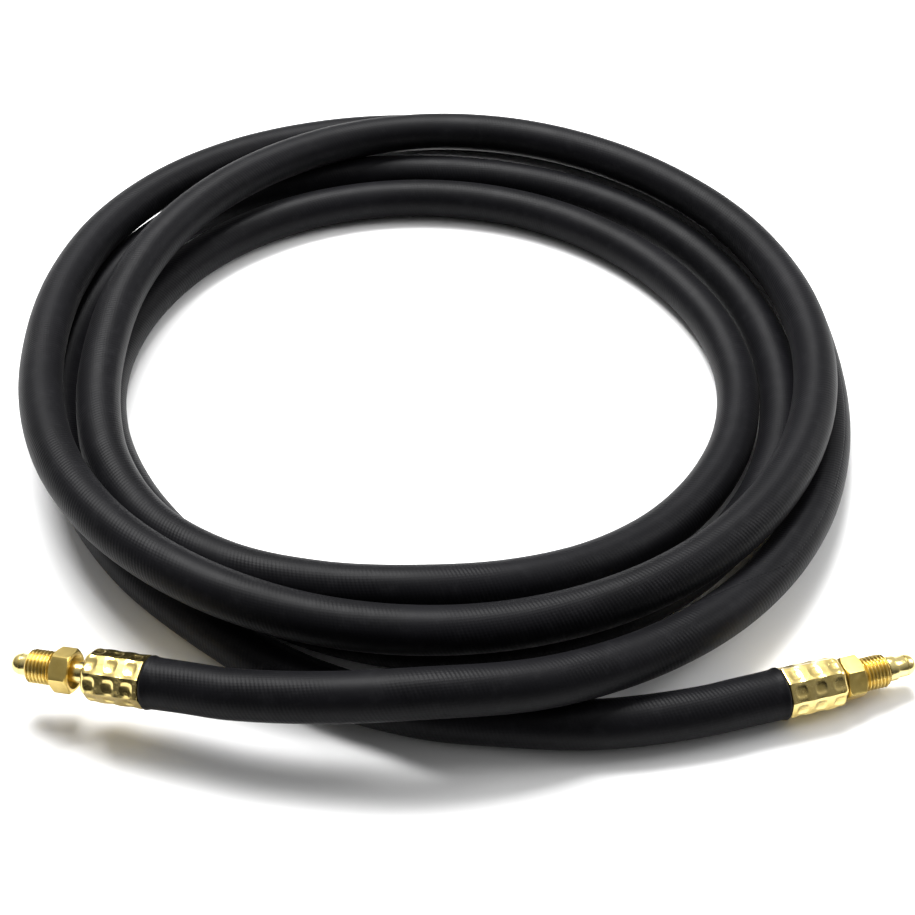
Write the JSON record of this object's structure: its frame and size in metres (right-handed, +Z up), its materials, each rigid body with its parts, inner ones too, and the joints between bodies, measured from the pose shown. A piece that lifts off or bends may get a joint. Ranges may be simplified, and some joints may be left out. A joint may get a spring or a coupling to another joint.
{
  "type": "tig torch power cable",
  "caption": "Coiled black rubber power-and-gas cable for a TIG torch, with a crimped brass ball-nose fitting and a loose male nut on each end.",
  "frame": {"origin": "centre of the bounding box at its base, on the surface that the coil lies on", "axes": "+Z up; +Y from the two fittings across the coil, its longest extent; +X from the front fitting to the rear one"},
  "size_m": [0.2746, 0.3058, 0.0352],
  "materials": {
    "hose_rubber": "matte black rubber with a fine cross texture from its cloth wrap",
    "braid_yarn": "undyed yarn braid",
    "liner_rubber": "smooth matte black rubber",
    "copper_rope": "bare copper",
    "ferrule_brass": "polished brass, crimped",
    "nipple_brass": "polished turned brass",
    "nut_brass": "satin machined brass"
  },
  "bodies": {
    "cable": {"hose_cover": "hose_rubber", "hose_braid": "braid_yarn", "hose_liner": "liner_rubber", "conductor": "copper_rope", "front_ferrule": "ferrule_brass", "front_nipple": "nipple_brass", "rear_ferrule": "ferrule_brass", "rear_nipple": "nipple_brass"},
    "front_nut": {"front_nut": "nut_brass"},
    "rear_nut": {"rear_nut": "nut_brass"}
  },
  "joints": [
    {"name": "front_nut_slide", "type": "slide", "parent": "cable", "child": "front_nut", "axis": [-0.971, 0.2252, -0.0801], "range_m": [-0.0037, 0]},
    {"name": "rear_nut_slide", "type": "slide", "parent": "cable", "child": "rear_nut", "axis": [0.9659, 0.259, 0], "range_m": [0, 0.0037]}
  ]
}
